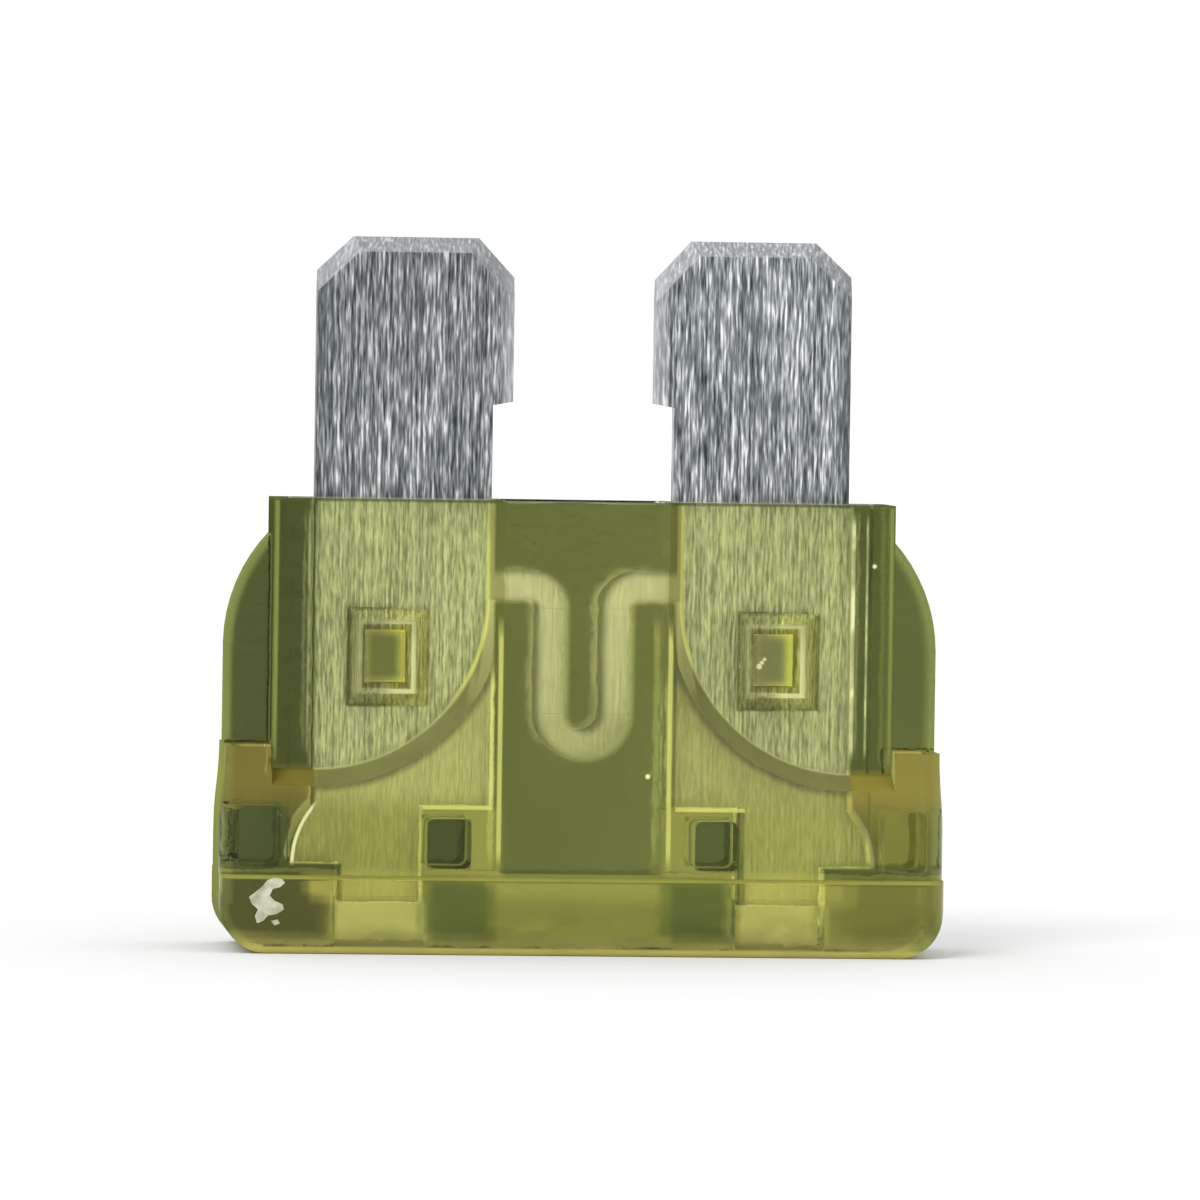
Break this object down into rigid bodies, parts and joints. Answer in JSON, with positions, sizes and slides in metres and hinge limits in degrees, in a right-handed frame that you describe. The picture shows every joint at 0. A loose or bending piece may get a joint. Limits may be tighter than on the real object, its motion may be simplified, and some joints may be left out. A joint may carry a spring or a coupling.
{
  "type": "automotive blade fuse",
  "caption": "Regular blade fuse: a transparent yellow moulded housing staked round a stamped metal element with flat blades and a curved fusible link.",
  "frame": {"origin": "middle of the head's flat end face, which is the lowest face", "axes": "+X across both blades, +Y from front to back, +Z along the blades from the head to their tips"},
  "size_m": [0.019, 0.0052, 0.0188],
  "materials": {
    "yellow_plastic": "polished, transparent, tinted through",
    "strip_metal": "rolled grain along the blades, dull bright"
  },
  "bodies": {
    "root": {"housing": "yellow_plastic", "fuse_element": "strip_metal"}
  },
  "joints": []
}
